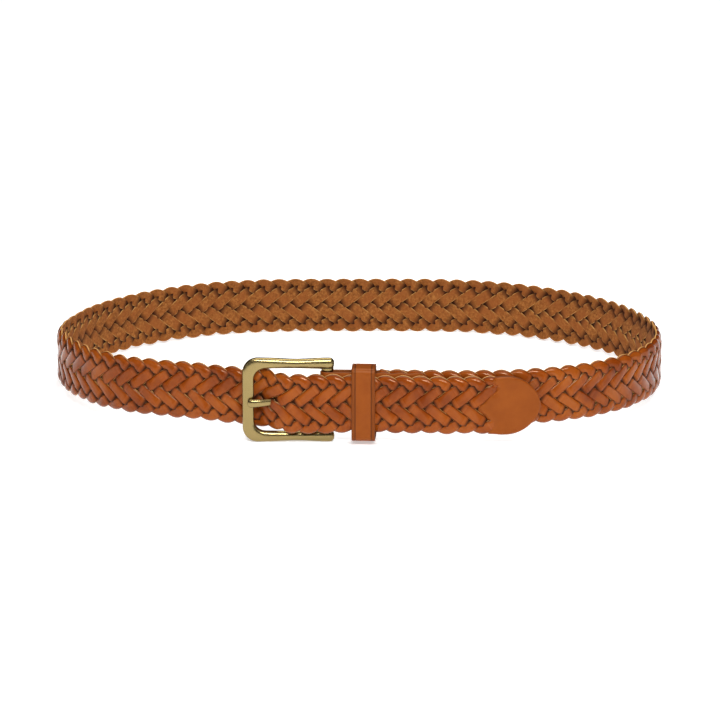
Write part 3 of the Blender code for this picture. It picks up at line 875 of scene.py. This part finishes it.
GRAIN = (0.238, 0.0475, 0.0040)
GRAIN_WORN = (0.290, 0.0680, 0.0075)
GRAIN_DARK = (0.160, 0.0260, 0.0019)
# Near each lace's edges: partly burnished leather, partly painted shade in the grooves between laces
RIM_BURNISH_AND_SHADE = (0.082, 0.0115, 0.0002)
# Painted shade, near black, where a lace dives under another
PAINTED_DIVE_SHADE = (0.026, 0.0042, 0.0002)
CUT_EDGE = (0.520, 0.265, 0.082)
FLESH = (0.236, 0.077, 0.0155)
FLESH_WORN = (0.350, 0.140, 0.0345)
FLESH_DARK = (0.110, 0.032, 0.0050)
FLESH_RED = (0.215, 0.060, 0.0120)
FLESH_EDGE = (0.290, 0.120, 0.028)
SMOOTH_DARK = (0.208, 0.0440, 0.0034)
SMOOTH_LIGHT = (0.252, 0.0580, 0.0056)
SMOOTH_EDGE = (0.150, 0.040, 0.010)
CREASE = (0.060, 0.012, 0.002)
BRASS_DARK = (0.265, 0.198, 0.080)
BRASS_LIGHT = (0.310, 0.232, 0.098)
LEATHER_TINT = (1.0, 0.72, 0.50, 1.0)  # of its reflections


def lace_material():
    made, tree, surface = new_material("lace_leather_look")
    patches = noise(tree, 60.0, 3.0)
    fine = noise(tree, 900.0, 5.0)
    side = attribute(tree, "side")
    dive_shade = attribute(tree, "dive_shade")
    across = add_node(tree, "ShaderNodeMath", operation="ABSOLUTE")
    tree.links.new(attribute(tree, "across"), across.inputs[0])
    grain = ramp(tree, patches, [(0.32, GRAIN_DARK), (0.50, GRAIN), (0.68, GRAIN_WORN)])
    # Darker towards the lace's edges: burnished edge and painted shade in the grooves between laces
    grain = mixed(tree, ranged(tree, across.outputs[0], 0.76, 0.92, 0.0, 0.90), grain, RIM_BURNISH_AND_SHADE)
    # Painted shade where the lace dives under a neighbour
    grain = mixed(tree, ranged(tree, dive_shade, 0.69, 0.86, 0.0, 1.0), grain, PAINTED_DIVE_SHADE)
    flesh = ramp(tree, noise(tree, 650.0, 6.0, 0.75), [(0.34, FLESH_DARK), (0.52, FLESH), (0.68, FLESH_WORN)])
    flesh = mixed(tree, ranged(tree, noise(tree, 95.0, 3.0), 0.40, 0.62, 0.0, 0.75), flesh, FLESH_RED)
    flesh = mixed(tree, ranged(tree, across.outputs[0], 0.74, 0.93, 0.0, 0.45), flesh, FLESH_EDGE)
    # Painted shade on the flesh side where the lace dives
    flesh = mixed(tree, ranged(tree, dive_shade, 0.50, 0.84, 0.0, 1.0), flesh, PAINTED_DIVE_SHADE)
    # The pale cut edge, with painted shade where it dives
    edge = mixed(tree, ranged(tree, dive_shade, 0.35, 0.80, 0.0, 1.0), CUT_EDGE, PAINTED_DIVE_SHADE)
    colour = mixed(tree, ranged(tree, side, 0.35, 0.7, 0.0, 1.0), edge, grain)
    colour = mixed(tree, ranged(tree, side, -0.7, -0.35, 1.0, 0.0), colour, flesh)
    tree.links.new(colour, surface.inputs["Base Color"])
    rough = add_node(tree, "ShaderNodeMath", operation="MAXIMUM")
    tree.links.new(ranged(tree, side, 0.2, 0.8, 0.85, 0.18), rough.inputs[0])
    tree.links.new(ranged(tree, dive_shade, 0.50, 0.85, 0.18, 0.75), rough.inputs[1])
    tree.links.new(rough.outputs[0], surface.inputs["Roughness"])
    surface.inputs["Specular IOR Level"].default_value = 0.30
    surface.inputs["Specular Tint"].default_value = LEATHER_TINT
    bumped(tree, surface, fine, 0.25, 0.0002)
    return made


def smooth_material():
    made, tree, surface = new_material("smooth_leather_look")
    patches = noise(tree, 75.0, 5.0, 0.65)
    fine = noise(tree, 1300.0, 5.0)
    grain = ramp(tree, patches, [(0.3, SMOOTH_DARK), (0.7, SMOOTH_LIGHT)])
    side = attribute(tree, "side")
    crease = attribute(tree, "crease")
    colour = mixed(tree, ranged(tree, side, 0.3, 0.9, 0.0, 1.0), SMOOTH_EDGE, grain)
    colour = mixed(tree, crease, colour, CREASE)
    tree.links.new(colour, surface.inputs["Base Color"])
    tree.links.new(ranged(tree, patches, 0.3, 0.7, 0.34, 0.44), surface.inputs["Roughness"])
    surface.inputs["Specular IOR Level"].default_value = 0.24
    surface.inputs["Specular Tint"].default_value = LEATHER_TINT
    bumped(tree, surface, fine, 0.12, 0.0001)
    return made


def brass_material():
    made, tree, surface = new_material("brass_look")
    patches = noise(tree, 22.0, 2.0)
    colour = ramp(tree, patches, [(0.3, BRASS_DARK), (0.7, BRASS_LIGHT)])
    tree.links.new(colour, surface.inputs["Base Color"])
    surface.inputs["Metallic"].default_value = 1.0
    tree.links.new(ranged(tree, patches, 0.3, 0.7, 0.23, 0.28), surface.inputs["Roughness"])
    return made


# Floor, light and camera

FLOOR_REACH = 3.0


def stage():
    floor_mesh = bpy.data.meshes.new("floor")
    corners = [(FLOOR_REACH * x, FLOOR_REACH * y, 0) for x, y in ((-1, -1), (1, -1), (1, 1), (-1, 1))]
    floor_mesh.from_pydata(corners, [], [(0, 1, 2, 3)])
    floor = bpy.data.objects.new("floor", floor_mesh)
    bpy.context.scene.collection.objects.link(floor)
    made, _, surface = new_material("floor_look")
    surface.inputs["Base Color"].default_value = (0.92, 0.92, 0.92, 1.0)
    surface.inputs["Roughness"].default_value = 0.9
    surface.inputs["Emission Color"].default_value = (1.0, 1.0, 1.0, 1.0)
    surface.inputs["Emission Strength"].default_value = 0.45
    floor_mesh.materials.append(made)


def add_area(name, place, towards, size, power):
    data = bpy.data.lights.new(name, "AREA")
    data.shape = "RECTANGLE"
    data.size, data.size_y = size
    data.energy = power
    made = bpy.data.objects.new(name, data)
    bpy.context.scene.collection.objects.link(made)
    made.location = place
    direction = np.array(towards) - np.array(place)
    made.rotation_euler = Vector(direction).to_track_quat("-Z", "Y").to_euler()


# Name, place, what it points at, size in metres and power in watts
AREAS = (
    ("overhead", (0.0, 0.2, 1.5), (0.0, 0.1, 0.0), (1.8, 1.0), 20.0),
    ("strip", (0.1, -1.0, 0.86), (0.0, 0.0, 0.02), (0.7, 0.14), 14.0),
    ("left", (-1.5, -1.4, 0.9), (0.0, 0.0, 0.02), (0.4, 0.8), 1.6),
    ("right", (1.5, -1.4, 0.9), (0.0, 0.0, 0.02), (0.4, 0.8), 1.6),
)
WORLD_STRENGTH = 0.045


def lights():
    world = bpy.data.worlds.new("studio")
    bpy.context.scene.world = world
    world.use_nodes = True
    background = world.node_tree.nodes["Background"]
    background.inputs["Color"].default_value = (1.0, 1.0, 1.0, 1.0)
    background.inputs["Strength"].default_value = WORLD_STRENGTH
    for row in AREAS:
        add_area(*row)


CAMERA_PLACE = (0.00055, -2.5042, 0.8709)
CAMERA_PITCH = math.radians(18.839)
CAMERA_LENS = 220.25


def camera():
    data = bpy.data.cameras.new("camera")
    data.lens = CAMERA_LENS
    data.sensor_width = 36.0
    made = bpy.data.objects.new("camera", data)
    bpy.context.scene.collection.objects.link(made)
    made.location = CAMERA_PLACE
    made.rotation_euler = (math.pi / 2 - CAMERA_PITCH, 0.0, 0.0)
    bpy.context.scene.camera = made


camera()
lights()
stage()
bpy.context.scene.view_settings.view_transform = "Standard"

leather = lace_material()
smooth = smooth_material()
brass = brass_material()
for number in range(CROSSINGS):
    lace(number, leather)
tip_tab(smooth)
chape(smooth)
keeper_loop(smooth)
buckle_frame(brass)
buckle_prong(brass)
